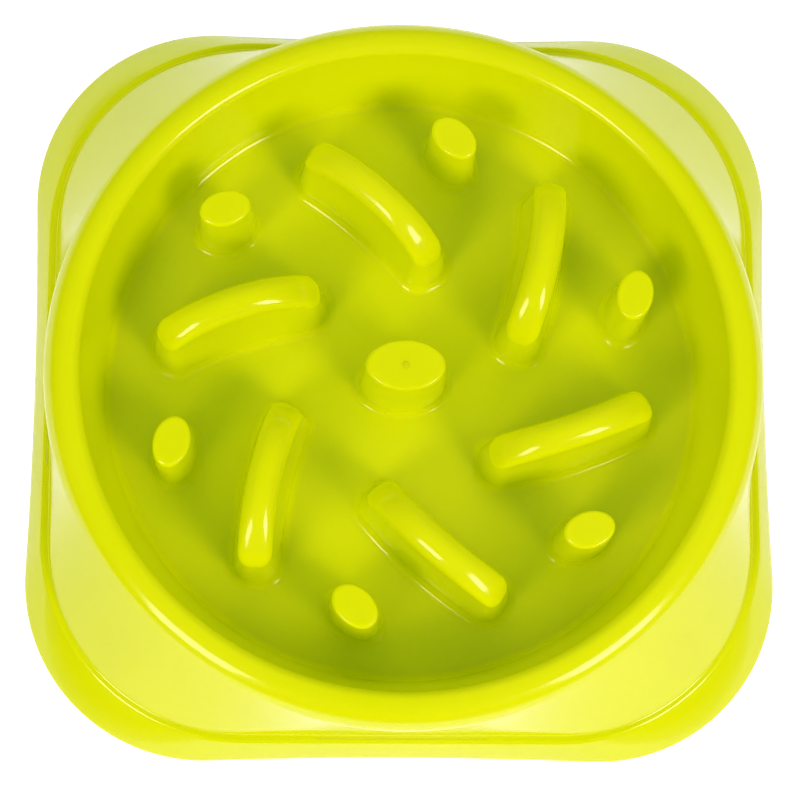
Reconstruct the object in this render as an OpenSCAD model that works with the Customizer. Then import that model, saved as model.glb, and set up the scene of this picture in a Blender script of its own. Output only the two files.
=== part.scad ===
// Slow feeder bowl: a one-piece moulded plastic bowl on four pressed-in rubber feet.
// The origin is on the table under the middle of the bowl, with +Z up and +X to the right.

/* [Base] */
// Width of the base across its widest points
base_w = 250; // [220:1:290]
// Radius of the four base corners in plan
base_corner_r = 60; // [50:1:66]
// How far the middle of each side is drawn in
side_pinch = 1.2; // [0.6:0.1:3]
// Gap between the skirt's bottom edge and the table
skirt_gap = 1.2; // [0.8:0.1:1.6]
// Height of the ledge above the table
ledge_h = 10.2; // [8:0.1:12]
// Width of the flat ledge
ledge_w = 2; // [1:0.1:3]
// Chamfer between the ledge and the skirt
ledge_chamfer = 1.2; // [0.6:0.1:1.6]
// How far the skirt runs out at the middle of a side
skirt_run = 3.7; // [3:0.1:6]
// How much larger the ledge's corner radius is than the base's
ledge_corner_extra = 5; // [2:0.5:8]
// Thickness of the moulding's walls
wall = 2.4; // [1.8:0.1:3]

/* [Rim and bowl] */
// Height of the rim above the table
rim_h = 44.2; // [42:0.2:52]
// Radius of the circle where the rim's outer rounding is centred
rim_r = 108.5; // [104:0.5:109]
// Radius of the rim's outer rounding
rim_round = 8.5; // [7:0.1:9]
// Radius of the rim's inner rounding
rim_inner_round = 3; // [2.6:0.1:3.6]
// Radius of the bowl's inside at the floor
floor_r = 99; // [97:0.5:101]
// Slope of the bowl's inside wall away from upright, in degrees
wall_draft = 9.6; // [7:0.1:10]
// Fillet between the floor and the wall
floor_fillet = 3; // [2:0.1:5]
// Height of the floor's top above the table
floor_h = 7.2; // [6.4:0.1:8]

/* [Vanes] */
// Number of vanes, and of pegs, around the bowl
ring_count = 6; // [4:1:6]
// Height of the vanes above the table
vane_h = 44; // [36:0.2:44]
// Length of a vane
vane_l = 54.5; // [48:0.5:58]
// Width of a vane
vane_w = 13; // [11.6:0.1:15]
// Corner radius of a vane in plan
vane_corner_r = 4.8; // [4.6:0.1:5.6]
// Radius that a vane is bent to
vane_bend_r = 150; // [110:5:400]
// Rounding along a vane's top edges
vane_round = 4.4; // [3:0.1:4.5]
// Length of the level stretch in the middle of a vane's top
vane_level_l = 21; // [16:0.5:26]
// Radius that a vane's top falls away at past its level stretch
vane_crown_r = 28; // [24:0.5:60]
// Distance of a vane's middle from the bowl's axis
vane_ring_r = 58.5; // [56:0.5:60]
// Direction of the first vane, in degrees from +X
vane_first = 39.4; // [36:0.2:42]
// Turn of a vane away from the radius, in degrees
vane_turn = 39.3; // [36:0.1:42]

/* [Pegs] */
// Height of the pegs above the table
peg_h = 39; // [32:0.2:41]
// Length of a peg in plan
peg_l = 17; // [14:0.1:19]
// Width of a peg in plan
peg_w = 12; // [11:0.1:14]
// Rounding around a peg's top
peg_round = 1.4; // [1:0.1:2.4]
// Distance of a peg from the bowl's axis
peg_ring_r = 79.2; // [78:0.2:81]
// Direction of the first peg, in degrees from +X
peg_first = 18.4; // [16:0.2:21]
// Turn of a peg away from the radius, in degrees
peg_turn = 58.4; // [52:0.2:64]

/* [Centre post] */
// Height of the post above the table
post_h = 42.4; // [34:0.2:43]
// Length of the post, side to side
post_l = 26; // [22:0.5:30]
// Width of the post, front to back
post_w = 17; // [15:0.2:22]
// Rounding around the post's top
post_round = 1.6; // [1:0.1:2.4]
// Diameter of the gate mark on the post
gate_d = 2.2; // [1.6:0.1:3]
// Height of the gate mark
gate_h = 0.3; // [0.2:0.1:0.5]

/* [Shared moulding details] */
// Fillet where the vanes, pegs and post meet the floor
foot_fillet = 3; // [2:0.1:3.2]
// Slope of the sides of the vanes, pegs and post, in degrees
side_draft = 2.5; // [1.5:0.1:3]

/* [Rubber feet] */
// Gap between a foot's pad and the inside of the skirt in the corner
foot_gap = 12; // [8:0.5:14]
// Diameter of a foot's pad
foot_pad_d = 18; // [16:0.5:20]
// Thickness of a foot's pad
foot_pad_t = 3.2; // [2.6:0.1:4]
// Rounding around the bottom of a pad
foot_pad_round = 0.8; // [0.4:0.1:1]
// Diameter of a foot's stem
foot_stem_d = 7; // [6:0.1:8]
// Length of a foot's stem
foot_stem_l = 9; // [7:0.5:10]
// Chamfer on the tip of the stem
foot_tip_chamfer = 0.8; // [0.4:0.1:1.2]
// Radial clearance around the stem
stem_clearance = 0.05; // [0.02:0.01:0.1]

/* [Hidden] */

// Steps around the loft, and facets around large and small circles
ring_steps = 72;
rim_steps = 5;
round_fn = 96;
small_fn = 48;

// Overrun for cuts, and how deep one solid sinks into another that it joins
cut = 1;
sink = 0.2;

// How far the inner rounding of the rim stops short of running level
edge_relief = 0.05;

// Half widths and corner radii of the crease and of the ledge's outer edge
ledge_out = ledge_w + ledge_chamfer;
crease_half = base_w / 2 - side_pinch - skirt_run - ledge_out;
edge_half = crease_half + ledge_w;
crease_r = base_corner_r + ledge_corner_extra;
crease_pinch = side_pinch / 6;
rim_z = rim_h - rim_round;
floor_under = floor_h - wall;

// Centre of the rim's inner rounding, which touches the sloping inside wall
inner_round_z = rim_h - rim_inner_round;
inner_round_r = floor_r
    + (rim_inner_round + (inner_round_z - floor_h) * sin(wall_draft)) / cos(wall_draft);

// Distance of a foot from the bowl's axis, which sets it in from the corner of the base
corner_reach = (base_w / 2 - base_corner_r) * sqrt(2) + base_corner_r;
foot_ring_r = corner_reach - wall - foot_gap - foot_pad_d / 2;

// Slope of a vane's top where its level stretch ends
crown_start = 8;

// Stem hole in a boss, and the boss around it
stem_hole_r = foot_stem_d / 2 + stem_clearance;
stem_hole_l = foot_stem_l + foot_tip_chamfer;
boss_r = stem_hole_r + wall * 5 / 4;

bowl_green = [0.87, 0.89, 0.05];
foot_grey = [0.62, 0.64, 0.62];

// Distance from the axis to a rounded square with drawn-in sides, in direction t.
// The sides are wide arcs that run smoothly into the corner arcs.
function outline(half, corner, pinch, t) =
    let (
        a = half - corner,
        mid = half - pinch,
        far = (pow(mid - corner, 2) - 2 * a * a) / (-2 * pinch),
        side_r = far - mid,
        meet = atan2(a * side_r, far * corner + a * side_r),
        u = abs((t + 45) % 90 - 45),
        v = 45 - u,
        reach = a * sqrt(2)
    )
    u < meet
        ? far * cos(u) - sqrt(pow(side_r, 2) - pow(far * sin(u), 2))
        : reach * cos(v) + sqrt(pow(corner, 2) - pow(reach * sin(v), 2));

function base_at(t) = outline(base_w / 2, base_corner_r, side_pinch, t);
function crease_at(t) = outline(crease_half, crease_r, crease_pinch, t);
function edge_at(t) = outline(edge_half, crease_r + ledge_w, crease_pinch, t);
function lower_edge_at(t) = edge_at(t) + ledge_chamfer;

// Slope of the shoulder in direction t, where it leaves a circle of radius r at the rim
function shoulder_slope(t, r) =
    let (
        dr = crease_at(t) - rim_r,
        dz = ledge_h - rim_z
    )
    90 - atan2(dz, dr) - acos(r / norm([dr, dz]));

// Slope of the skirt in direction t
function skirt_slope(t) =
    atan2(ledge_h - ledge_chamfer - skirt_gap, base_at(t) - lower_edge_at(t));

// One upright section of the outside in direction t, as [distance, height] from the bottom
// edge to the flat top of the rim. It lies a depth in below the moulding's outer face.
function section(t, in, bottom) =
    let (
        r = rim_round - in,
        shoulder = shoulder_slope(t, rim_round),
        skirt = skirt_slope(t),
        skirt_in = in / sin(skirt),
        run = (skirt_gap - bottom) / tan(skirt)
    )
    [
        [base_at(t) + run - skirt_in, bottom],
        [lower_edge_at(t) - in * tan(skirt / 2 + 22.5 / 2), ledge_h - ledge_chamfer - in / 2],
        [edge_at(t) - in * tan(45 / 2), ledge_h - in],
        [crease_at(t) - in * tan(shoulder / 2), ledge_h - in],
        for (k = [rim_steps:-1:0])
            let (a = shoulder * k / rim_steps)
            [rim_r + r * sin(a), rim_z + r * cos(a)]
    ];

function upright(p, t) = [p[0] * cos(t), p[0] * sin(t), p[1]];

// A closed solid through rings of points, listed from the lowest ring up
module loft(rings) {
    n = len(rings[0]);
    last = len(rings) - 1;
    points = [for (ring = rings) each ring];
    bottom = [for (i = [0:n - 1]) i];
    top = [for (i = [n - 1:-1:0]) last * n + i];
    sides = [
        for (k = [0:last - 1])
            for (i = [0:n - 1])
                let (
                    j = (i + 1) % n,
                    a = k * n + i,
                    b = k * n + j
                )
                each [[a, a + n, b], [b, a + n, b + n]]
    ];
    polyhedron(points, concat([bottom], sides, [top]));
}

// The skirt, ledge and shoulder as one full solid, a depth in below the outer face
module outside(in, bottom) {
    angles = [for (i = [0:ring_steps - 1]) (i + 0.5) * 360 / ring_steps];
    sections = [for (t = angles) section(t, in, bottom)];
    loft([
        for (k = [0:len(sections[0]) - 1])
            [for (i = [0:ring_steps - 1]) upright(sections[i][k], angles[i])]
    ]);
}

// Distance from the axis to the bowl's inside wall at height z
function inside_at(z) = floor_r + (z - floor_h) * tan(wall_draft);

// Everything inside the back of the bowl's wall, from the floor's underside up
module drum_section() {
    back = wall / cos(wall_draft);
    polygon([
        [0, floor_under],
        [inside_at(floor_under) + back, floor_under],
        [inside_at(inner_round_z) + back, inner_round_z],
        [inside_at(inner_round_z) + back, rim_h],
        [0, rim_h]
    ]);
}

// The empty inside of the bowl, which leaves the rim's inner rounding standing
// and fills out the fillet between the floor and the wall
module inside_section() {
    fillet_r = floor_r - floor_fillet * (1 - sin(wall_draft)) / cos(wall_draft);
    fillet_z = floor_h + floor_fillet;
    difference() {
        polygon([
            [0, floor_h],
            [fillet_r, floor_h],
            [fillet_r + floor_fillet * cos(wall_draft), fillet_z - floor_fillet * sin(wall_draft)],
            [
                inner_round_r - rim_inner_round * cos(wall_draft),
                inner_round_z + rim_inner_round * sin(wall_draft)
            ],
            [inner_round_r - rim_inner_round * cos(wall_draft), inner_round_z + edge_relief],
            [inner_round_r, rim_h + edge_relief / 2],
            [inner_round_r, rim_h + cut],
            [0, rim_h + cut]
        ]);
        translate([inner_round_r, inner_round_z + edge_relief])
            circle(r = rim_inner_round, $fn = small_fn);
    }
    translate([fillet_r, fillet_z])
        circle(r = floor_fillet, $fn = small_fn);
}

// How much wider the sides of a raised shape are a height h lower down
function spread(h) = h * tan(side_draft);

// Half of the section of a raised shape, from its middle out to r at the top of its side.
// It reaches into the floor, and back past the middle by the length back.
module raised_half(r, back, top, round) {
    side_top = top - round;
    low_z = floor_h + foot_fillet - sink;
    low_r = r + spread(side_top - low_z);
    difference() {
        polygon([
            [-back, floor_h - wall / 2],
            [low_r + foot_fillet, floor_h - wall / 2],
            [low_r + foot_fillet, low_z - foot_fillet],
            [low_r, low_z],
            [r, side_top],
            [r - round, top],
            [-back, top]
        ]);
        translate([low_r + foot_fillet, low_z])
            circle(r = foot_fillet, $fn = small_fn);
    }
    intersection() {
        translate([r - round, side_top])
            circle(r = round, $fn = small_fn);
        translate([-back, side_top - round])
            square([back + r, 2 * round]);
    }
}

// Half of the section of the hollow underneath a raised shape
module core_half(r, back, top) {
    bottom = floor_under - cut;
    polygon([
        [-back, bottom],
        [r - wall + spread(top - bottom), bottom],
        [r - wall, top - wall],
        [-back, top - wall]
    ]);
}

// The half section of a vane, peg or post: the raised shape itself, or its core
module half_section(r, back, top, round, core) {
    if (core)
        core_half(r, back, top);
    else
        raised_half(r, back, top, round);
}

// A raised shape that is an oval in plan, or its core
module oval_body(l, w, top, round, core = false) {
    share = core ? (w - 2 * wall) / (l - 2 * wall) : w / l;
    scale([1, share, 1])
        rotate_extrude($fn = small_fn)
            half_section(l / 2, 0, top, round, core);
}

// The squared end of a vane, with its two rounded corners
module vane_end(gap, core) {
    for (side = [0, 1])
        mirror([0, side, 0])
            translate([0, gap, 0])
                rotate_extrude(angle = 90, $fn = small_fn)
                    half_section(vane_corner_r, 0, vane_h, vane_round, core);
    translate([0, gap, 0])
        rotate([90, 0, 0])
            linear_extrude(2 * gap)
                half_section(vane_corner_r, 0, vane_h, vane_round, core);
}

// A vane with a level top, bent about a point on its left, with its middle at the origin
module level_vane(core) {
    gap = vane_w / 2 - vane_corner_r;
    half_turn = (vane_l / 2 - vane_corner_r) / vane_bend_r * 180 / PI;
    translate([0, vane_bend_r, 0]) {
        rotate([0, 0, -90 - half_turn])
            rotate_extrude(angle = 2 * half_turn, $fn = round_fn)
                translate([vane_bend_r, 0])
                    for (side = [0, 1])
                        mirror([side, 0])
                            translate([gap, 0])
                                half_section(vane_corner_r, gap, vane_h, vane_round, core);
        for (side = [0, 1])
            mirror([side, 0, 0])
                rotate([0, 0, half_turn])
                    translate([0, -vane_bend_r, 0])
                        vane_end(gap, core);
    }
}

// What lies above the falling end of a vane's top, a depth in below it
module above_crown(in) {
    middle_x = vane_level_l / 2 - vane_crown_r * sin(crown_start);
    middle_z = vane_h - vane_crown_r * cos(crown_start);
    translate([middle_x, 0, middle_z])
        rotate([90, 0, 0])
            linear_extrude(vane_l, center = true)
                difference() {
                    square([vane_l, vane_crown_r + cut]);
                    circle(r = vane_crown_r - in, $fn = round_fn);
                }
}

// A vane whose top is level in the middle and falls away towards both ends, or its core
module vane_body(core = false) {
    difference() {
        level_vane(core);
        for (side = [0, 1])
            mirror([side, 0, 0])
                above_crown(core ? wall : 0);
    }
}

// Places a child on the ring of vanes or of pegs
module around(ring_r, first, turn) {
    for (i = [0:ring_count - 1])
        rotate([0, 0, first + i * 360 / ring_count])
            translate([ring_r, 0, 0])
                rotate([0, 0, turn])
                    children();
}

// Places a child at each foot
module at_feet() {
    for (q = [0:3])
        rotate([0, 0, 45 + 90 * q])
            translate([foot_ring_r, 0, 0])
                children();
}

// Everything under the moulding's skin except the drum, its floor, and the tubes
// that hold the stems of the feet
module hollow() {
    difference() {
        outside(wall, skirt_gap - cut);
        rotate_extrude($fn = round_fn)
            drum_section();
        at_feet()
            translate([0, 0, foot_pad_t])
                cylinder(r = boss_r, h = rim_z, $fn = small_fn);
    }
}

// The skirt, ledge, shoulder and rim, with the drum and the floor inside them
module shell() {
    difference() {
        outside(0, skirt_gap);
        rotate_extrude($fn = round_fn)
            inside_section();
        hollow();
    }
}

module bowl() {
    color(bowl_green)
        difference() {
            union() {
                shell();
                around(vane_ring_r, vane_first, vane_turn)
                    vane_body();
                around(peg_ring_r, peg_first, peg_turn)
                    oval_body(peg_l, peg_w, peg_h, peg_round);
                oval_body(post_l, post_w, post_h, post_round);
                translate([0, 0, floor_h])
                    cylinder(d = gate_d, h = post_h - floor_h + gate_h, $fn = small_fn);
            }
            around(vane_ring_r, vane_first, vane_turn)
                vane_body(core = true);
            around(peg_ring_r, peg_first, peg_turn)
                oval_body(peg_l, peg_w, peg_h, peg_round, core = true);
            oval_body(post_l, post_w, post_h, post_round, core = true);
            at_feet()
                translate([0, 0, foot_pad_t - cut])
                    cylinder(r = stem_hole_r, h = stem_hole_l + cut, $fn = small_fn);
        }
}

// A rubber foot with a round pad and a stem that is pressed up into its boss
module foot(q) {
    pad_r = foot_pad_d / 2;
    stem_r = foot_stem_d / 2;
    tip = foot_pad_t + foot_stem_l;
    color(foot_grey)
        rotate([0, 0, 45 + 90 * q])
            translate([foot_ring_r, 0, 0])
                rotate_extrude($fn = small_fn)
                    polygon([
                        [0, 0],
                        [pad_r - foot_pad_round, 0],
                        [pad_r, foot_pad_round],
                        [pad_r, foot_pad_t],
                        [stem_r, foot_pad_t],
                        [stem_r, tip - foot_tip_chamfer],
                        [stem_r - foot_tip_chamfer, tip],
                        [0, tip]
                    ]);
}

module foot_rear_right() { foot(0); }
module foot_rear_left() { foot(1); }
module foot_front_left() { foot(2); }
module foot_front_right() { foot(3); }

bowl();
foot_front_left();
foot_front_right();
foot_rear_left();
foot_rear_right();
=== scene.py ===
import logging
import math
from dataclasses import dataclass, field
from enum import Enum
from typing import Callable, Iterable, NamedTuple

import bmesh
import bpy
from mathutils import Matrix, Vector


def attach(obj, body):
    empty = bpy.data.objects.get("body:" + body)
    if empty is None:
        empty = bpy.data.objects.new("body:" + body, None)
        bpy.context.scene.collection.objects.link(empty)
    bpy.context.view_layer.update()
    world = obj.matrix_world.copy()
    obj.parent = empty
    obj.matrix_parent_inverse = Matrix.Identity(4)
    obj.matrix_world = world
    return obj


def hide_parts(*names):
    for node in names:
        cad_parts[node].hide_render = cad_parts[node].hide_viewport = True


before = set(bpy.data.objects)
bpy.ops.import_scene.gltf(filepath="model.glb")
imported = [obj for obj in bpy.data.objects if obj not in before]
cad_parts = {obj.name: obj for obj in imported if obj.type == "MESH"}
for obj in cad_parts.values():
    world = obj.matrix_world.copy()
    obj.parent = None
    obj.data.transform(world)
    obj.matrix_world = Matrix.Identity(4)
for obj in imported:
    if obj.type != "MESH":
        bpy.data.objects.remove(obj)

MM = 0.001
MERGE = 0.002 * MM
FOOT_REACH = 128.523
LOG = logging.getLogger("slow_feeder")


# Shared geometry helpers


class Point(NamedTuple):
    """A point of an upright section: its distance from the axis and its height, in mm."""

    r: float
    z: float


@dataclass(frozen=True)
class Corner:
    """A corner of a section, with the radius that rounds it and the steps in that arc."""

    r: float
    z: float
    radius: float = 0.0
    steps: int = 0

    def arc(self, before: "Corner", after: "Corner") -> list[Point]:
        """The points that round this corner between its neighbours.

        Args:
            before: The corner that comes before this one along the section.
            after: The corner that comes after it.

        Returns:
            One point for a sharp corner, and steps + 1 points along the arc for a round one.
        """
        here = Vector((self.r, self.z))
        if not self.steps:
            return [Point(*here)]
        back = (Vector((before.r, before.z)) - here).normalized()
        on = (Vector((after.r, after.z)) - here).normalized()
        half = back.angle(on) / 2
        centre = here + (back + on).normalized() * self.radius / math.sin(half)
        reach = self.radius / math.tan(half)
        first = here + back * reach - centre
        last = here + on * reach - centre
        turn = first.angle_signed(last)
        arc = []
        for k in range(self.steps + 1):
            step = -turn * k / self.steps
            arc.append(Point(
                centre.x + first.x * math.cos(step) - first.y * math.sin(step),
                centre.y + first.x * math.sin(step) + first.y * math.cos(step),
            ))
        return arc


def rounded(corners: list[Corner]) -> list[Point]:
    """Rounds an open line of corners.

    Args:
        corners: The line's corners in order. The two ends stay sharp.

    Returns:
        The rounded line's points. Their number depends only on the steps of the corners.
    """
    points = [Point(corners[0].r, corners[0].z)]
    for before, corner, after in zip(corners, corners[1:], corners[2:]):
        points += corner.arc(before, after)
    points.append(Point(corners[-1].r, corners[-1].z))
    return points


def closed_loop(bm: bmesh.types.BMesh, points: Iterable[Vector], spot: object) -> list:
    """Starts a skin with a closed loop of edges.

    Args:
        bm: The mesh that the loop is made in.
        points: The loop's points in metres.
        spot: The vertex layer that keeps each point's place along the loop.

    Returns:
        The loop's edges.
    """
    verts = []
    for place, point in enumerate(points):
        vert = bm.verts.new(point)
        vert[spot] = place
        verts.append(vert)
    return [bm.edges.new(pair) for pair in zip(verts, verts[1:] + verts[:1])]


def grow(bm: bmesh.types.BMesh, edges: list, points: list[Vector], spot: object) -> list:
    """Extrudes a loop of edges and puts its new points in place.

    Args:
        bm: The mesh that holds the loop.
        edges: The loop's edges.
        points: Where each point of the new loop goes, in metres.
        spot: The vertex layer that keeps each point's place along the loop.

    Returns:
        The new loop's edges.
    """
    made = bmesh.ops.extrude_edge_only(bm, edges=edges)["geom"]
    for item in made:
        if isinstance(item, bmesh.types.BMVert):
            item.co = points[item[spot]]
    return [item for item in made if isinstance(item, bmesh.types.BMEdge)
            and all(len(vert.link_faces) < 4 and vert in made for vert in item.verts)]


def turned(bm: bmesh.types.BMesh, line: list[Point], steps: int) -> None:
    """Turns a section once around the upright axis with the spin operator.

    Args:
        bm: An empty mesh, which receives the turned skin.
        line: The section's points in mm. Its ends may lie on the axis.
        steps: The number of steps in the full turn.
    """
    verts = [bm.verts.new((p.r * MM, 0.0, p.z * MM)) for p in line]
    edges = [bm.edges.new(pair) for pair in zip(verts, verts[1:])]
    bmesh.ops.spin(
        bm, geom=verts + edges, cent=(0, 0, 0), axis=(0, 0, 1), angle=math.tau,
        steps=steps, use_merge=True, use_normal_flip=False, use_duplicate=False)
    bmesh.ops.remove_doubles(bm, verts=bm.verts, dist=MERGE)
    bmesh.ops.recalc_face_normals(bm, faces=bm.faces)


def finished(bm: bmesh.types.BMesh, name: str) -> bpy.types.Object:
    """Makes a smooth-shaded object at the origin from a mesh.

    Args:
        bm: The finished mesh, which is freed.
        name: The name of the object.

    Returns:
        The new object.
    """
    mesh = bpy.data.meshes.new(name)
    bm.to_mesh(mesh)
    bm.free()
    mesh.polygons.foreach_set("use_smooth", [True] * len(mesh.polygons))
    piece = bpy.data.objects.new(name, mesh)
    bpy.context.scene.collection.objects.link(piece)
    return piece


# Finishes


class Slot(Enum):
    """Material slots of the part's record."""

    BOWL = "bowl_plastic"
    FOOT = "foot_rubber"


def linear(red: int, green: int, blue: int) -> tuple[float, float, float, float]:
    """Turns a colour written as 0 to 255 into scene-linear values with full alpha.

    Args:
        red: The red channel.
        green: The green channel.
        blue: The blue channel.

    Returns:
        The linear channels and an alpha of 1.
    """
    def one(value: int) -> float:
        """Turns one channel into its scene-linear value."""
        share = value / 255
        return share / 12.92 if share <= 0.04045 else ((share + 0.055) / 1.055) ** 2.4
    return one(red), one(green), one(blue), 1.0


def added(tree: bpy.types.NodeTree, kind: str, values: dict[str | int, object],
          operation: str = "") -> bpy.types.Node:
    """Adds a node with the values of its inputs.

    Args:
        tree: The node tree.
        kind: The node's type.
        values: The default values of its inputs, by name or place.
        operation: The operation of a maths node.

    Returns:
        The new node.
    """
    made = tree.nodes.new(kind)
    if operation:
        made.operation = operation
    for name, value in values.items():
        made.inputs[name].default_value = value
    return made


@dataclass(frozen=True)
class MouldedSurface:
    """The shader node group of moulded surfaces: cloudy colour, uneven gloss and fine wear."""

    name: str = "moulded_surface"
    cloud_low: float = 0.35
    cloud_high: float = 0.65
    cloud_detail: float = 3.0
    hair_turn: tuple[float, float, float] = (0.2, 0.35, 0.7)
    hair_stretch: tuple[float, float, float] = (1.0, 9.0, 4.0)
    hair_scale: float = 38.0
    hair_detail: float = 5.0
    hair_width: float = 0.012
    hair_dulls: float = 0.12
    grain_detail: float = 2.0

    def group(self) -> bpy.types.NodeTree:
        """Gives the node group, which is built the first time.

        Returns:
            A group with the outputs Colour, Roughness and Height.
        """
        found = bpy.data.node_groups.get(self.name)
        if found:
            return found
        tree = bpy.data.node_groups.new(self.name, "ShaderNodeTree")
        colour, number = "NodeSocketColor", "NodeSocketFloat"
        for name, kind, value in (
            ("Light Colour", colour, (0.8, 0.8, 0.8, 1)),
            ("Deep Colour", colour, (0.6, 0.6, 0.6, 1)),
            ("Smooth", number, 0.2), ("Rough", number, 0.3),
            ("Cloud Scale", number, 12.0), ("Grain Scale", number, 900.0),
            ("Wear", number, 0.3),
        ):
            made = tree.interface.new_socket(name=name, in_out="INPUT", socket_type=kind)
            made.default_value = value
        for name, kind in (("Colour", colour), ("Roughness", number), ("Height", number)):
            tree.interface.new_socket(name=name, in_out="OUTPUT", socket_type=kind)
        new, join = tree.nodes.new, tree.links.new
        given, result = new("NodeGroupInput"), new("NodeGroupOutput")
        where = new("ShaderNodeTexCoord").outputs["Object"]

        cloud = added(tree, "ShaderNodeTexNoise", {"Detail": self.cloud_detail})
        join(where, cloud.inputs["Vector"])
        join(given.outputs["Cloud Scale"], cloud.inputs["Scale"])
        spread = added(tree, "ShaderNodeMapRange",
                       {"From Min": self.cloud_low, "From Max": self.cloud_high})
        join(cloud.outputs["Fac"], spread.inputs["Value"])
        tint = new("ShaderNodeMix")
        tint.data_type = "RGBA"
        join(spread.outputs["Result"], tint.inputs["Factor"])
        join(given.outputs["Deep Colour"], tint.inputs[6])
        join(given.outputs["Light Colour"], tint.inputs[7])
        join(tint.outputs[2], result.inputs["Colour"])

        # Hair scratches lie along wandering lines, where a stretched noise passes its middle
        stretch = added(tree, "ShaderNodeMapping",
                        {"Rotation": self.hair_turn, "Scale": self.hair_stretch})
        join(where, stretch.inputs["Vector"])
        hair = added(tree, "ShaderNodeTexNoise",
                     {"Scale": self.hair_scale, "Detail": self.hair_detail})
        join(stretch.outputs["Vector"], hair.inputs["Vector"])
        off = added(tree, "ShaderNodeMath", {1: 0.5}, "SUBTRACT")
        size = added(tree, "ShaderNodeMath", {}, "ABSOLUTE")
        line = added(tree, "ShaderNodeMapRange", {
            "From Min": 0.0, "From Max": self.hair_width, "To Min": 1.0, "To Max": 0.0})
        scuffed = added(tree, "ShaderNodeMath", {}, "MULTIPLY")
        join(hair.outputs["Fac"], off.inputs[0])
        join(off.outputs[0], size.inputs[0])
        join(size.outputs[0], line.inputs["Value"])
        join(line.outputs["Result"], scuffed.inputs[0])
        join(given.outputs["Wear"], scuffed.inputs[1])

        gloss = new("ShaderNodeMapRange")
        join(spread.outputs["Result"], gloss.inputs["Value"])
        join(given.outputs["Smooth"], gloss.inputs["To Min"])
        join(given.outputs["Rough"], gloss.inputs["To Max"])
        duller = added(tree, "ShaderNodeMath", {1: self.hair_dulls}, "MULTIPLY_ADD")
        join(scuffed.outputs[0], duller.inputs[0])
        join(gloss.outputs["Result"], duller.inputs[2])
        join(duller.outputs[0], result.inputs["Roughness"])

        grain = added(tree, "ShaderNodeTexNoise", {"Detail": self.grain_detail})
        join(where, grain.inputs["Vector"])
        join(given.outputs["Grain Scale"], grain.inputs["Scale"])
        cut = added(tree, "ShaderNodeMath", {}, "SUBTRACT")
        join(grain.outputs["Fac"], cut.inputs[0])
        join(scuffed.outputs[0], cut.inputs[1])
        join(cut.outputs[0], result.inputs["Height"])
        return tree


@dataclass(frozen=True)
class MouldedFinish:
    """A moulded plastic or rubber, dressed with the shared surface group."""

    name: str
    light: tuple[float, float, float, float]
    deep: tuple[float, float, float, float]
    smooth: float
    rough: float
    cloud_scale: float
    grain_scale: float
    wear: float
    bump_mm: float
    ior: float = 1.5
    glow: float = 0.0
    glow_mm: tuple[float, float, float] = (1.0, 1.0, 1.0)
    bump_strength: float = 0.35

    def material(self) -> bpy.types.Material:
        """Gives the material, which is built the first time.

        Returns:
            The node-based material.
        """
        found = bpy.data.materials.get(self.name)
        if found:
            return found
        made = bpy.data.materials.new(self.name)
        made.use_nodes = True
        tree = made.node_tree
        shader = tree.nodes["Principled BSDF"]
        surface = tree.nodes.new("ShaderNodeGroup")
        surface.node_tree = MouldedSurface().group()
        for name, value in (
            ("Light Colour", self.light), ("Deep Colour", self.deep),
            ("Smooth", self.smooth), ("Rough", self.rough),
            ("Cloud Scale", self.cloud_scale), ("Grain Scale", self.grain_scale),
            ("Wear", self.wear),
        ):
            surface.inputs[name].default_value = value
        bump = added(tree, "ShaderNodeBump",
                     {"Strength": self.bump_strength, "Distance": self.bump_mm * MM})
        for source, target in (
            (surface.outputs["Height"], bump.inputs["Height"]),
            (surface.outputs["Colour"], shader.inputs["Base Color"]),
            (surface.outputs["Roughness"], shader.inputs["Roughness"]),
            (bump.outputs["Normal"], shader.inputs["Normal"]),
        ):
            tree.links.new(source, target)
        for name, value in (
            ("IOR", self.ior), ("Subsurface Weight", self.glow),
            ("Subsurface Radius", self.glow_mm), ("Subsurface Scale", MM),
        ):
            shader.inputs[name].default_value = value
        return made


LIME_PLASTIC = MouldedFinish(
    name="lime_plastic", light=linear(221, 234, 0), deep=linear(218, 232, 0),
    smooth=0.1, rough=0.15, cloud_scale=14.0, grain_scale=700.0, wear=0.35,
    bump_mm=0.02, ior=1.5, glow=0.25, glow_mm=(3.0, 3.4, 0.4))

GREY_RUBBER = MouldedFinish(
    name="grey_rubber", light=linear(172, 174, 170), deep=linear(160, 162, 158),
    smooth=0.55, rough=0.7, cloud_scale=120.0, grain_scale=2400.0, wear=0.6,
    bump_mm=0.06, ior=1.45)


# The moulding


class FootCorner(Enum):
    """The four feet, each with its direction in degrees from +X."""

    rear_right = 45
    rear_left = 135
    front_left = 225
    front_right = 315


@dataclass(frozen=True)
class SquareOutline:
    """A rounded square whose sides are drawn in a little, as a distance in each direction."""

    half: float
    corner: float
    pinch: float

    def at(self, turn: float) -> float:
        """Distance from the axis to the outline, in mm.

        Args:
            turn: The direction in degrees from +X.

        Returns:
            The distance along that direction.
        """
        corner_at = self.half - self.corner
        middle = self.half - self.pinch
        far = ((middle - self.corner) ** 2 - 2 * corner_at ** 2) / (-2 * self.pinch)
        side = far - middle
        meet = math.atan2(corner_at * side, far * self.corner + corner_at * side)
        off = math.radians(abs((turn + 45) % 90 - 45))
        if off < meet:
            return far * math.cos(off) - math.sqrt(side ** 2 - (far * math.sin(off)) ** 2)
        left = math.pi / 4 - off
        reach = corner_at * math.sqrt(2)
        return reach * math.cos(left) + math.sqrt(
            self.corner ** 2 - (reach * math.sin(left)) ** 2)


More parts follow.
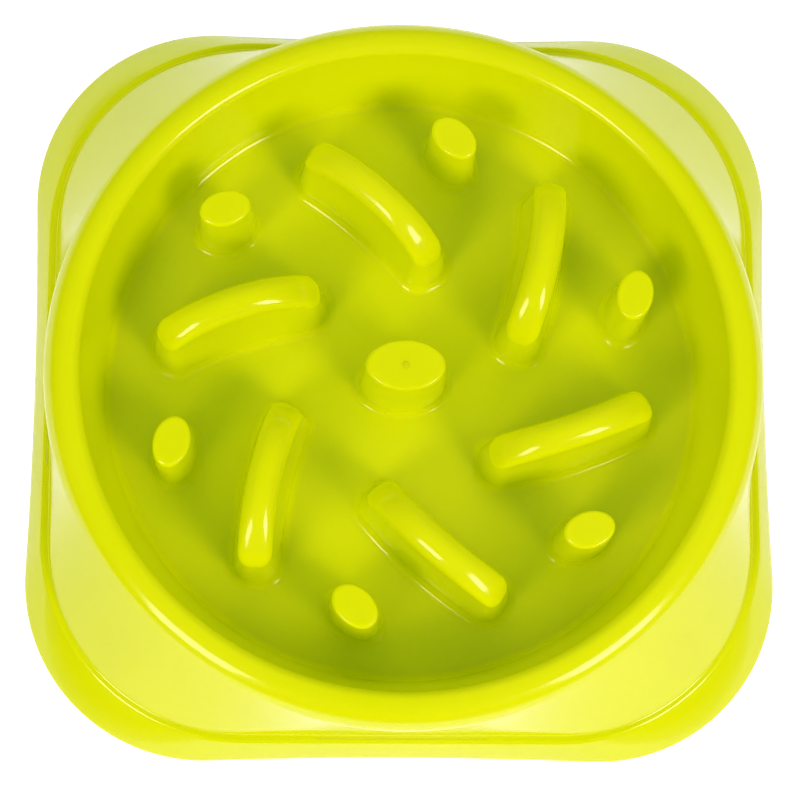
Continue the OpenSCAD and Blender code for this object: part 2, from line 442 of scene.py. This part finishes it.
@dataclass(frozen=True)
class Skin:
    """Sizes of the moulding's skin, from the bowl's floor over the rim to the skirt, in mm."""

    base_w: float = 249.9
    base_corner: float = 60.0
    pinch: float = 1.2
    skirt_gap: float = 1.2
    ledge_h: float = 10.2
    ledge_w: float = 2.0
    chamfer: float = 1.2
    skirt_run: float = 3.7
    corner_extra: float = 5.0
    wall: float = 2.4
    rim_h: float = 44.2
    rim_r: float = 108.5
    rim_round: float = 8.5
    rim_inner_round: float = 3.0
    floor_r: float = 99.0
    draft: float = 9.6
    floor_fillet: float = 3.0
    floor_h: float = 7.2
    crease_round: float = 1.5
    ledge_round: float = 2.2
    edge_round: float = 0.4
    shelf_round: float = 0.6
    under_crease_round: float = 2.0
    rim_back_round: float = 0.8
    drum_round: float = 3.6
    flat_margin: float = 0.4
    steps: int = 360

    @property
    def under(self) -> float:
        """Height of the floor's underside."""
        return self.floor_h - self.wall

    @property
    def base(self) -> SquareOutline:
        """Outline of the skirt's bottom edge."""
        return SquareOutline(self.base_w / 2, self.base_corner, self.pinch)

    @property
    def crease(self) -> SquareOutline:
        """Outline of the crease where the shoulder meets the ledge."""
        half = self.base_w / 2 - self.pinch - self.skirt_run - self.ledge_w - self.chamfer
        return SquareOutline(half, self.base_corner + self.corner_extra, self.pinch / 6)

    def inside(self, z: float) -> float:
        """Distance from the axis to the bowl's inside wall.

        Args:
            z: The height above the table.

        Returns:
            The distance at that height.
        """
        return self.floor_r + (z - self.floor_h) * math.tan(math.radians(self.draft))

    def shoulder_angle(self, turn: float) -> float:
        """Slope of the shoulder in radians, where it leaves the rim's rounding.

        Args:
            turn: The direction in degrees from +X.

        Returns:
            The angle below level.
        """
        run = self.crease.at(turn) - self.rim_r
        drop = self.ledge_h - (self.rim_h - self.rim_round)
        return math.pi / 2 - math.atan2(drop, run) - math.acos(
            self.rim_round / math.hypot(run, drop))

    def shoulder_r(self, turn: float, z: float) -> float:
        """Distance from the axis to the shoulder's outer face.

        Args:
            turn: The direction in degrees from +X.
            z: The height above the table.

        Returns:
            The distance at that height.
        """
        slope = self.shoulder_angle(turn)
        return self.crease.at(turn) - (z - self.ledge_h) / math.tan(slope)

    def shoulder_z(self, turn: float, r: float) -> float:
        """Height of the middle of the shoulder's wall.

        Args:
            turn: The direction in degrees from +X.
            r: The distance from the axis.

        Returns:
            The height at that distance.
        """
        slope = self.shoulder_angle(turn)
        outer = self.ledge_h + (self.crease.at(turn) - r) * math.tan(slope)
        return min(outer - self.wall / 2 / math.cos(slope), self.rim_h - self.wall / 2)

    def section(self, turn: float) -> list[Point]:
        """The moulding's whole upright section in one direction.

        Args:
            turn: The direction in degrees from +X.

        Returns:
            Points from the floor's top, up the inside, over the rim and down to the skirt,
            and back underneath to the floor's underside.
        """
        crease, base = self.crease.at(turn), self.base.at(turn)
        ledge_edge = SquareOutline(
            self.crease.half + self.ledge_w, self.crease.corner + self.ledge_w,
            self.crease.pinch).at(turn) + self.chamfer
        slope = self.shoulder_angle(turn)
        low = self.ledge_h - self.chamfer
        skirt = math.atan2(low - self.skirt_gap, base - ledge_edge)
        skirt_top = base - (self.ledge_h - self.skirt_gap) / math.tan(skirt)
        foot_out = self.edge_round * (1 / math.tan(skirt / 2) - 1)
        skirt_in = self.wall / math.sin(skirt)
        shelf = self.ledge_h - self.wall
        under_rim = self.rim_h - self.wall
        back = self.wall / math.cos(math.radians(self.draft))
        shelf_out = base - skirt_in - (shelf - self.skirt_gap) / math.tan(skirt)
        shelf_in = crease - self.wall * math.tan(slope / 2)
        rim_in = shelf_in - (under_rim - shelf) / math.tan(slope)
        start = self.floor_r - self.floor_fillet - self.flat_margin
        return rounded([
            Corner(start, self.floor_h),
            Corner(self.floor_r, self.floor_h, self.floor_fillet, 8),
            Corner(self.inside(self.rim_h), self.rim_h, self.rim_inner_round, 10),
            Corner(self.shoulder_r(turn, self.rim_h), self.rim_h, self.rim_round, 18),
            Corner(crease, self.ledge_h, self.crease_round, 5),
            Corner(skirt_top, self.ledge_h, self.ledge_round, 7),
            Corner(base + foot_out, self.skirt_gap, self.edge_round, 4),
            Corner(base - skirt_in, self.skirt_gap, self.edge_round, 4),
            Corner(shelf_out, shelf, self.shelf_round, 3),
            Corner(shelf_in, shelf, self.under_crease_round, 4),
            Corner(rim_in, under_rim, self.rim_round - self.wall, 8),
            Corner(self.inside(under_rim) + back, under_rim, self.rim_back_round, 3),
            Corner(self.inside(self.under) + back, self.under, self.drum_round, 6),
            Corner(start, self.under),
        ])

    def build(self, bm: bmesh.types.BMesh) -> tuple[list, list]:
        """Spins the section round the axis, then gives each direction its own section.

        Args:
            bm: The mesh that receives the skin.

        Returns:
            The edges around the floor's top, and those around its underside.
        """
        sections = [self.section(360 * k / self.steps) for k in range(self.steps)]
        station = bm.verts.layers.int["station"]
        verts = []
        for place, p in enumerate(sections[0]):
            vert = bm.verts.new((p.r * MM, 0.0, p.z * MM))
            vert[station] = place
            verts.append(vert)
        edges = [bm.edges.new(pair) for pair in zip(verts, verts[1:])]
        bmesh.ops.spin(
            bm, geom=verts + edges, cent=(0, 0, 0), axis=(0, 0, 1), angle=math.tau,
            steps=self.steps, use_merge=True, use_normal_flip=False, use_duplicate=False)
        for vert in bm.verts:
            turn = math.atan2(vert.co.y, vert.co.x)
            p = sections[round(turn / math.tau * self.steps) % self.steps][vert[station]]
            vert.co = (p.r * MM * math.cos(turn), p.r * MM * math.sin(turn), p.z * MM)
        last = len(sections[0]) - 1
        rims = []
        for place in (0, last):
            rims.append([edge for edge in bm.edges if edge.is_boundary
                         and all(vert[station] == place for vert in edge.verts)])
        return rims[0], rims[1]


@dataclass(frozen=True)
class BarOutline:
    """The plan of a vane: a bar with rounded corners that is bent along its length, in mm."""

    length: float
    width: float
    corner: float
    bend: float
    corner_steps: int = 8
    side_steps: int = 26

    def ring(self, out: float) -> list[Vector]:
        """The outline of the straight bar, moved outwards.

        Args:
            out: How far it is moved outwards.

        Returns:
            Its points, anticlockwise, and as many for every distance.
        """
        half_l, half_w = self.length / 2 - self.corner, self.width / 2 - self.corner
        radius = self.corner + out
        points = []
        for sx, sy, first in ((1, 1, 0), (-1, 1, 90), (-1, -1, 180), (1, -1, 270)):
            for k in range(self.corner_steps + 1):
                turn = math.radians(first + 90 * k / self.corner_steps)
                points.append(Vector((sx * half_l + radius * math.cos(turn),
                                      sy * half_w + radius * math.sin(turn))))
            along = sx == sy
            steps = self.side_steps if along else 4
            start = points[-1]
            end = Vector((-start.x, start.y)) if along else Vector((start.x, -start.y))
            points += [start.lerp(end, k / steps) for k in range(1, steps)]
        return points

    def bent(self, point: Vector) -> Vector:
        """Bends a point of the straight bar about a centre on its left.

        Args:
            point: The point of the straight bar.

        Returns:
            Its place on the bent bar, at the same height.
        """
        turn = point.x / self.bend
        reach = self.bend - point.y
        return Vector((reach * math.sin(turn), self.bend - reach * math.cos(turn), point.z))


@dataclass(frozen=True)
class OvalOutline:
    """The plan of a peg or of the post: an oval, in mm."""

    length: float
    width: float
    steps: int = 72

    def ring(self, out: float) -> list[Vector]:
        """The oval, made larger.

        Args:
            out: How much longer each half of it is.

        Returns:
            Its points, anticlockwise, and as many for every size.
        """
        reach = self.length / 2 + out
        share = self.width / self.length
        turns = [math.tau * k / self.steps for k in range(self.steps)]
        return [Vector((reach * math.cos(turn), reach * share * math.sin(turn)))
                for turn in turns]

    def bent(self, point: Vector) -> Vector:
        """Leaves a point where it is, because an oval is not bent."""
        return point


@dataclass(frozen=True)
class RaisedShape:
    """A shape that stands up from the floor with a level top and is hollow below, in mm."""

    plan: BarOutline | OvalOutline
    top: float
    edge_round: float
    fillet: float = 3.0
    draft: float = 2.5
    wall: float = 2.4
    soft: float = 0.5
    soft_share: float = 0.3
    fillet_steps: int = 8
    cap_steps: int = 9

    @property
    def side_top(self) -> float:
        """Height at which the side ends and the rounding begins."""
        return self.top - self.edge_round

    def spread(self, drop: float) -> float:
        """How much wider the shape is lower down.

        Args:
            drop: The distance below the top of its side.

        Returns:
            How far each side has moved out.
        """
        return drop * math.tan(math.radians(self.draft))

    def level_ring(self, level: Point) -> list[Vector]:
        """The plan's points at one offset and height.

        Args:
            level: How far the plan is moved outwards, and the height.

        Returns:
            The ring's points.
        """
        return [Vector((p.x, p.y, level.z)) for p in self.plan.ring(level.r)]

    def side(self, floor: float, margin: float) -> list[list[Vector]]:
        """Rings of the fillet and the side, from the floor to the top of the side.

        Args:
            floor: Height of the floor's top.
            margin: How far the floor's first ring lies outside the fillet.

        Returns:
            The rings, each a list of points.
        """
        low = self.spread(self.side_top - floor - self.fillet)
        reach = low + self.fillet
        line = [Point(reach + margin, floor)]
        for k in range(self.fillet_steps + 1):
            turn = math.radians((90 - self.draft) * k / self.fillet_steps)
            line.append(Point(reach - self.fillet * math.sin(turn),
                              floor + self.fillet * (1 - math.cos(turn))))
        line.append(Point(low / 2, (self.side_top + floor + self.fillet) / 2))
        line.append(Point(0.0, self.side_top))
        return [self.level_ring(level) for level in line]

    def cap(self, margin: float) -> list[list[Vector]]:
        """Rings of the rounding around the top, which end just inside it.

        Args:
            margin: How far inside the rounding the last ring lies.

        Returns:
            The rings, each a list of points.
        """
        line = []
        for k in range(1, self.cap_steps + 1):
            turn = math.radians(self.draft + (90 - self.draft) * k / self.cap_steps)
            line.append(Point(self.edge_round * (math.cos(turn) - 1),
                              self.side_top + self.edge_round * math.sin(turn)))
        line.append(Point(-self.edge_round - margin, self.top))
        return [self.level_ring(level) for level in line]

    def outside(self, floor: float, margin: float) -> list[list[Vector]]:
        """All rings of the outer face.

        Args:
            floor: Height of the floor's top.
            margin: How far the first and the last ring lie outside the curves.

        Returns:
            The rings from the floor up, each a list of points.
        """
        return self.side(floor, margin) + self.cap(margin)

    def inside(self, under: float) -> list[list[Vector]]:
        """Rings of the hollow below, from its mouth in the floor's underside up.

        Args:
            under: Height of the floor's underside.

        Returns:
            The rings, each a list of points.
        """
        roof = self.top - self.wall
        mouth = self.spread(roof - under) - self.wall
        soft = self.soft
        near = soft * self.soft_share
        line = [
            Point(mouth + 3 * soft, under), Point(mouth + soft, under),
            Point(mouth + near, under + near), Point(mouth, under + soft),
            Point(-self.wall, roof - soft), Point(-self.wall - near, roof - near),
            Point(-self.wall - soft, roof),
        ]
        return [self.level_ring(level) for level in line]

    def close(self, bm: bmesh.types.BMesh, edges: list, top: bool) -> None:
        """Closes a face at its last ring.

        Args:
            bm: The mesh that holds the face.
            edges: The last ring's edges.
            top: True on the outer face, and False in the hollow.
        """
        bmesh.ops.edgeloop_fill(bm, edges=edges)

    def raise_from(self, bm: bmesh.types.BMesh, place: Matrix, rings: list[list[Vector]],
                   top: bool) -> list:
        """Raises one face of the shape, ring by ring, and closes it.

        Args:
            bm: The mesh that receives the face.
            place: Where the shape stands.
            rings: The straight shape's rings in mm, from the bottom up.
            top: True for the outer face, and False for the hollow.

        Returns:
            The edges of the lowest ring, which the floor is filled up to.
        """
        spot = bm.verts.layers.int["spot"]
        placed = [[place @ (self.plan.bent(p) * MM) for p in ring] for ring in rings]
        first = edges = closed_loop(bm, placed[0], spot)
        for ring in placed[1:]:
            edges = grow(bm, edges, ring, spot)
        self.close(bm, edges, top)
        return first


@dataclass(frozen=True)
class CrownedVane(RaisedShape):
    """A vane with a rounded top that falls away towards its ends, in mm.

    Its top is level for a short way in the middle, and falls faster towards the bowl's axis.
    """

    level_l: float = 3.6
    inner_crown: float = 31.0
    outer_crown: float = 37.0
    end_round: float = 4.0
    end_reach: float = 5.2
    soft: float = 1.5
    middle_power: float = 2.0
    end_power: float = 2.5
    blend_share: float = 1 / 12
    cap_steps: int = 12

    def fall(self, x: float) -> float:
        """How far the crown has fallen.

        Args:
            x: The place along the vane from its middle, outwards.

        Returns:
            The drop below the vane's highest line.
        """
        past = max(min(abs(x), self.plan.length / 2) - self.level_l / 2, 0.0)
        crown = self.outer_crown if x > 0 else self.inner_crown
        return crown - math.sqrt(crown ** 2 - past ** 2)

    def toward_end(self, x: float) -> float:
        """How near a place is to the vane's end.

        Args:
            x: The place along the vane from its middle.

        Returns:
            A share that runs smoothly from 0 in the middle to 1 at the end.
        """
        start = self.plan.length * self.blend_share
        share = min(max((abs(x) - start) / (self.plan.length / 2 - start), 0.0), 1.0)
        return share * share * (3 - 2 * share)

    def depth(self, x: float) -> float:
        """Height of the rounding over the side.

        Args:
            x: The place along the vane from its middle.

        Returns:
            The rounding's height there.
        """
        return self.edge_round + (self.end_round - self.edge_round) * self.toward_end(x)

    def lowered(self, rings: list[list[Vector]], foot: float, top: float) -> list[list[Vector]]:
        """Lowers rings towards the ends, more the higher they are.

        Args:
            rings: The rings of a vane with a level top.
            foot: The height up to which nothing is lowered.
            top: The height that is lowered in full.

        Returns:
            The lowered rings.
        """
        def one(p: Vector) -> Vector:
            """Lowers one point."""
            share = min(max((p.z - foot) / (top - foot), 0.0), 1.0)
            drop = self.fall(p.x) + self.depth(p.x) - self.edge_round
            return Vector((p.x, p.y, p.z - drop * share))
        return [[one(p) for p in ring] for ring in rings]

    def side(self, floor: float, margin: float) -> list[list[Vector]]:
        """Rings of the fillet and the side, lowered towards the ends."""
        return self.lowered(super().side(floor, margin), floor + self.fillet, self.side_top)

    def cap(self, margin: float) -> list[list[Vector]]:
        """Rings of the rounded top, which close up on the line along its middle."""
        end = self.plan.length / 2 - self.end_reach
        edge = self.plan.ring(0.0)
        rings = []
        for k in range(1, self.cap_steps + 1):
            out = math.cos(math.pi / 2 * k / self.cap_steps) if k < self.cap_steps else 0.0
            ring = []
            for p in edge:
                spine = Vector((min(max(p.x, -end), end), 0.0))
                here = spine.lerp(p, out)
                near = self.toward_end(here.x)
                power = self.middle_power + (self.end_power - self.middle_power) * near
                rise = (1 - out ** power) ** (1 / power)
                z = self.top - self.fall(here.x) - self.depth(here.x) * (1 - rise)
                ring.append(Vector((here.x, here.y, z)))
            rings.append(ring)
        return rings

    def inside(self, under: float) -> list[list[Vector]]:
        """Rings of the hollow below, lowered towards the ends."""
        return self.lowered(super().inside(under), under + self.soft, self.top - self.wall)

    def close(self, bm: bmesh.types.BMesh, edges: list, top: bool) -> None:
        """Joins the top's two sides along the middle line, or fills the hollow's roof."""
        if top:
            verts = list({vert for edge in edges for vert in edge.verts})
            bmesh.ops.remove_doubles(bm, verts=verts, dist=MERGE)
        else:
            super().close(bm, edges, top)


@dataclass(frozen=True)
class Ring:
    """A ring of equal shapes around the bowl's axis, in mm and degrees."""

    shape: RaisedShape
    reach: float
    first: float
    turn: float
    count: int = 6

    def places(self) -> list[Matrix]:
        """Where each of the shapes stands, in metres."""
        return [
            Matrix.Rotation(math.radians(self.first + 360 * k / self.count), 4, "Z")
            @ Matrix.Translation((self.reach * MM, 0, 0))
            @ Matrix.Rotation(math.radians(self.turn), 4, "Z")
            for k in range(self.count)]


@dataclass
class BowlMoulding:
    """The one-piece moulded bowl: its skin, floor, vanes, pegs, post and foot tubes."""

    skin: Skin = field(default_factory=Skin)
    vanes: Ring = Ring(CrownedVane(BarOutline(55.4, 11.2, 4.4, 150.0), 44.0, 5.0, draft=4.5),
                       58.5, 39.4, 39.3)
    pegs: Ring = Ring(RaisedShape(OvalOutline(17.0, 12.0), 39.0, 1.4), 79.2, 18.4, 58.4)
    post: RaisedShape = RaisedShape(OvalOutline(26.0, 17.0, 96), 42.4, 1.6)
    gate_d: float = 2.2
    gate_h: float = 0.3
    tube_r: float = 6.55
    hole_r: float = 3.55
    hole_l: float = 9.8
    tube_low: float = 3.2

    def shapes(self) -> list[tuple[RaisedShape, Matrix]]:
        """Every raised shape with its place."""
        rings = [(ring.shape, place) for ring in (self.vanes, self.pegs)
                 for place in ring.places()]
        return rings + [(self.post, Matrix.Identity(4))]

    def body(self, bm: bmesh.types.BMesh) -> None:
        """Makes the skin, raises the shapes and fills the floor between them.

        Args:
            bm: The mesh that receives the moulding.
        """
        bm.verts.layers.int.new("station")
        bm.verts.layers.int.new("spot")
        floor, under = self.skin.build(bm)
        for shape, place in self.shapes():
            floor += shape.raise_from(
                bm, place, shape.outside(self.skin.floor_h, self.skin.flat_margin), True)
            under += shape.raise_from(bm, place, shape.inside(self.skin.under), False)
        for edges in (floor, under):
            bmesh.ops.triangle_fill(bm, use_beauty=True, use_dissolve=False, edges=edges,
                                    normal=(0, 0, 1))
        bmesh.ops.recalc_face_normals(bm, faces=bm.faces)

    def gate_mark(self, bm: bmesh.types.BMesh) -> None:
        """Adds the small round gate mark on top of the post.

        Args:
            bm: The mesh that receives the mark.
        """
        sunk, soft = 0.3, 0.12
        made = bmesh.ops.create_cone(
            bm, cap_ends=True, segments=32, radius1=self.gate_d / 2 * MM,
            radius2=self.gate_d / 2 * MM, depth=(self.gate_h + sunk) * MM,
            matrix=Matrix.Translation(
                (0, 0, (self.post.top + (self.gate_h - sunk) / 2) * MM)))
        top = [edge for edge in {edge for vert in made["verts"] for edge in vert.link_edges}
               if all(vert.co.z > self.post.top * MM for vert in edge.verts)]
        bmesh.ops.bevel(bm, geom=top, offset=soft * MM, segments=3, profile=0.5,
                        affect="EDGES", material=-1)

    def tube(self, bm: bmesh.types.BMesh, turn: float) -> None:
        """Adds the tube under a corner that holds a foot's stem.

        Args:
            bm: The mesh that receives the tube.
            turn: The corner's direction in degrees from +X.
        """
        soft = 0.4
        top, peak, peak_r = 12.0, 13.5, self.tube_r * 0.6
        made = bmesh.new()
        turned(made, [
            Point(0, self.tube_low + self.hole_l),
            Point(self.hole_r, self.tube_low + self.hole_l),
            Point(self.hole_r, self.tube_low + soft),
            Point(self.hole_r + soft, self.tube_low),
            Point(self.tube_r - soft, self.tube_low),
            Point(self.tube_r, self.tube_low + soft),
            Point(self.tube_r, top),
            Point(peak_r, peak),
            Point(0, peak),
        ], 48)
        angle = math.radians(turn)
        centre = Vector((math.cos(angle), math.sin(angle), 0)) * FOOT_REACH * MM
        bmesh.ops.translate(made, verts=made.verts, vec=centre)
        for vert in made.verts:
            if vert.co.z > (top - soft) * MM:
                around = math.degrees(math.atan2(vert.co.y, vert.co.x))
                vert.co.z = self.skin.shoulder_z(around, vert.co.xy.length / MM) * MM
        mesh = bpy.data.meshes.new("tube")
        made.to_mesh(mesh)
        made.free()
        bm.from_mesh(mesh)
        bpy.data.meshes.remove(mesh)

    def make(self) -> bpy.types.Object:
        """Builds and dresses the moulding.

        Returns:
            The finished piece.
        """
        bm = bmesh.new()
        self.body(bm)
        self.gate_mark(bm)
        for corner in FootCorner:
            self.tube(bm, corner.value)
        piece = finished(bm, "bowl_moulding")
        piece.data.materials.append(LIME_PLASTIC.material())
        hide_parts("bowl")
        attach(piece, "root")
        return piece


# The feet


@dataclass(frozen=True)
class RubberFoot:
    """A rubber foot: a round pad with a shallow ring tread, and a stem, in mm."""

    corner: FootCorner
    pad_r: float = 9.0
    pad_t: float = 3.2
    pad_round: float = 0.8
    stem_r: float = 3.5
    stem_l: float = 9.0
    tip: float = 0.8
    groove: float = 0.5
    soft: float = 0.2
    top_soft: float = 0.3
    tread: tuple[tuple[float, bool], ...] = (
        (2.2, True), (2.8, False), (4.6, False), (5.0, True), (5.8, True), (6.2, False))

    def line(self) -> list[Point]:
        """The foot's section, from the middle of its tread to the tip of its stem."""
        top = self.pad_t + self.stem_l
        return rounded([
            Corner(0, self.groove),
            *(Corner(r, self.groove if sunk else 0, self.soft, 2) for r, sunk in self.tread),
            Corner(self.pad_r, 0, self.pad_round, 5),
            Corner(self.pad_r, self.pad_t, self.top_soft, 2),
            Corner(self.stem_r, self.pad_t, self.soft, 2),
            Corner(self.stem_r, top - self.tip, self.soft, 2),
            Corner(self.stem_r - self.tip, top, self.soft, 2),
            Corner(0, top),
        ])

    def make(self) -> bpy.types.Object:
        """Builds and dresses the foot.

        Returns:
            The finished piece.
        """
        bm = bmesh.new()
        turned(bm, self.line(), 64)
        angle = math.radians(self.corner.value)
        bmesh.ops.translate(bm, verts=bm.verts, vec=Vector(
            (math.cos(angle), math.sin(angle), 0)) * FOOT_REACH * MM)
        name = f"foot_{self.corner.name}"
        piece = finished(bm, f"rubber_{name}")
        piece.data.materials.append(GREY_RUBBER.material())
        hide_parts(name)
        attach(piece, "root")
        return piece


# The studio


@dataclass(frozen=True)
class SoftBox:
    """A square studio lamp that points at the bowl. Angles in degrees, sizes in metres."""

    name: str
    azimuth: float
    elevation: float
    distance: float
    width: float
    height: float
    watts: float
    warmth: tuple[float, float, float] = (1.0, 0.77, 0.64)
    mirrored: bool = True

    def make(self) -> bpy.types.Object:
        """Builds the lamp.

        Returns:
            The lamp's object.
        """
        lamp = bpy.data.lights.new(self.name, "AREA")
        lamp.shape = "RECTANGLE"
        lamp.size, lamp.size_y = self.width, self.height
        lamp.energy = self.watts
        lamp.color = self.warmth
        piece = bpy.data.objects.new(self.name, lamp)
        piece.visible_glossy = self.mirrored
        around, up = math.radians(self.azimuth), math.radians(self.elevation)
        towards = Vector((math.cos(up) * math.cos(around), math.cos(up) * math.sin(around),
                          math.sin(up)))
        piece.location = towards * self.distance
        piece.rotation_euler = towards.to_track_quat("Z", "Y").to_euler()
        bpy.context.scene.collection.objects.link(piece)
        return piece


@dataclass(frozen=True)
class PhotoCamera:
    """The camera at the photograph's viewpoint. Lengths in mm and angles in degrees."""

    place: tuple[float, float, float] = (-28.294, -156.079, 788.5)
    azimuth: float = 10.351
    elevation: float = 78.865
    roll: float = 10.684
    lens: float = 106.493
    film: float = 36.0

    def make(self) -> bpy.types.Object:
        """Builds the camera and makes it the scene's camera.

        Returns:
            The camera's object.
        """
        around, down = math.radians(self.azimuth), math.radians(self.elevation)
        ahead = Vector((math.sin(around) * math.cos(down), math.cos(around) * math.cos(down),
                        -math.sin(down)))
        right = ahead.cross(Vector((0, 0, 1))).normalized()
        up = right.cross(ahead)
        roll = math.radians(self.roll)
        right, up = (right * math.cos(roll) + up * math.sin(roll),
                     up * math.cos(roll) - right * math.sin(roll))
        turn = Matrix((right, up, -ahead)).transposed().to_4x4()
        data = bpy.data.cameras.new("photo_camera")
        data.lens, data.sensor_width = self.lens, self.film
        data.clip_start, data.clip_end = 0.01, 20.0
        camera = bpy.data.objects.new("photo_camera", data)
        camera.matrix_world = Matrix.Translation(Vector(self.place) * MM) @ turn
        bpy.context.scene.collection.objects.link(camera)
        bpy.context.scene.camera = camera
        return camera


@dataclass(frozen=True)
class Studio:
    """A plain white sweep, soft boxes on both sides in front, and a soft fill from above."""

    lamps: tuple[SoftBox, ...] = (
        SoftBox("front_left", 227, 38, 1.6, 0.5, 0.65, 9.3),
        SoftBox("front_right", 316, 38, 1.6, 0.5, 0.65, 11.3),
        SoftBox("front_fill", 270, 28, 1.9, 2.2, 0.7, 2.0, mirrored=False),
        SoftBox("rear_fill", 90, 32, 1.9, 2.2, 0.7, 9.5, mirrored=False),
    )
    sky: float = 0.58
    sky_full: float = 0.5
    sky_tint: tuple[float, float, float] = (0.88, 1.0, 1.0)
    horizon: float = 0.45
    horizon_low: float = 0.02
    horizon_high: float = 0.2
    floor: float = 0.92
    floor_rough: float = 0.9
    floor_half: float = 4.0
    floor_lift: float = 0.65
    floor_mirrored: float = 0.45

    def background(self) -> None:
        """Lights the world softly from above, and white where the camera sees it.

        Reflections find a bright horizon and a dark ceiling, as in a studio with soft boxes.
        """
        world = bpy.data.worlds.new("studio")
        bpy.context.scene.world = world
        # Without this, reflections would also be lit by the soft dome
        world.cycles.sampling_method = "NONE"
        world.use_nodes = True
        tree = world.node_tree
        nodes, links = tree.nodes, tree.links
        nodes.clear()
        where = nodes.new("ShaderNodeTexCoord")
        split = nodes.new("ShaderNodeSeparateXYZ")
        links.new(where.outputs["Generated"], split.inputs["Vector"])
        path = nodes.new("ShaderNodeLightPath")

        def dome(low: tuple[float, float], high: tuple[float, float],
                 tint: tuple[float, float, float]) -> bpy.types.NodeSocket:
            """Makes a light that changes between two heights.

            Args:
                low: The lower height, and the strength there.
                high: The upper height, and the strength there.
                tint: The light's colour.

            Returns:
                The light's shader.
            """
            fade = added(tree, "ShaderNodeMapRange", {
                "From Min": low[0], "From Max": high[0], "To Min": low[1], "To Max": high[1]})
            links.new(split.outputs["Z"], fade.inputs["Value"])
            light = added(tree, "ShaderNodeBackground", {"Color": (*tint, 1)})
            links.new(fade.outputs["Result"], light.inputs["Strength"])
            return light.outputs[0]

        def chosen(ray: str, light: bpy.types.NodeSocket,
                   other: bpy.types.NodeSocket) -> bpy.types.NodeSocket:
            """Gives one light to a kind of ray, and another to the rest.

            Args:
                ray: The output of the Light Path node that picks the rays.
                light: What those rays see.
                other: What all others see.

            Returns:
                The mixed shader.
            """
            pick = nodes.new("ShaderNodeMixShader")
            links.new(path.outputs[ray], pick.inputs["Fac"])
            links.new(other, pick.inputs[1])
            links.new(light, pick.inputs[2])
            return pick.outputs[0]

        white_light = (1.0, 1.0, 1.0)
        soft = dome((0.0, 0.0), (self.sky_full, self.sky), self.sky_tint)
        mirrored = dome((self.horizon_low, self.horizon), (self.horizon_high, 0.0), white_light)
        white = nodes.new("ShaderNodeBackground").outputs[0]
        out = nodes.new("ShaderNodeOutputWorld")
        links.new(chosen("Is Camera Ray", white, chosen("Is Glossy Ray", mirrored, soft)),
                  out.inputs["Surface"])

    def sweep(self) -> bpy.types.Object:
        """Builds the plain pale floor.

        Returns:
            The floor's object.
        """
        bm = bmesh.new()
        bmesh.ops.create_grid(bm, x_segments=1, y_segments=1, size=self.floor_half)
        piece = finished(bm, "studio_floor")
        paint = bpy.data.materials.new("floor_paint")
        paint.use_nodes = True
        tree = paint.node_tree
        shader = tree.nodes["Principled BSDF"]
        for name, value in (
            ("Base Color", (self.floor,) * 3 + (1,)), ("Roughness", self.floor_rough),
            ("Emission Color", (1, 1, 1, 1)),
        ):
            shader.inputs[name].default_value = value
        path = tree.nodes.new("ShaderNodeLightPath")
        seen = added(tree, "ShaderNodeMath", {1: self.floor_lift}, "MULTIPLY")
        lift = added(tree, "ShaderNodeMath", {1: self.floor_mirrored}, "MULTIPLY_ADD")
        tree.links.new(path.outputs["Is Camera Ray"], seen.inputs[0])
        tree.links.new(path.outputs["Is Glossy Ray"], lift.inputs[0])
        tree.links.new(seen.outputs[0], lift.inputs[2])
        tree.links.new(lift.outputs[0], shader.inputs["Emission Strength"])
        piece.data.materials.append(paint)
        return piece

    def make(self) -> None:
        """Builds the whole studio and its camera."""
        scene = bpy.context.scene
        scene.view_settings.view_transform = "Standard"
        self.background()
        self.sweep()
        for lamp in self.lamps:
            lamp.make()
        PhotoCamera().make()


def main() -> None:
    """Builds the bowl, its feet and the studio."""
    logging.basicConfig(level=logging.INFO, format="%(name)s: %(message)s")
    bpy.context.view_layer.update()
    makers: list[Callable[[], bpy.types.Object]] = [BowlMoulding().make]
    makers += [RubberFoot(corner).make for corner in FootCorner]
    for make in makers:
        piece = make()
        LOG.info("%s: %d faces", piece.name, len(piece.data.polygons))
    Studio().make()
    bpy.context.view_layer.update()


if __name__ == "__main__":
    main()
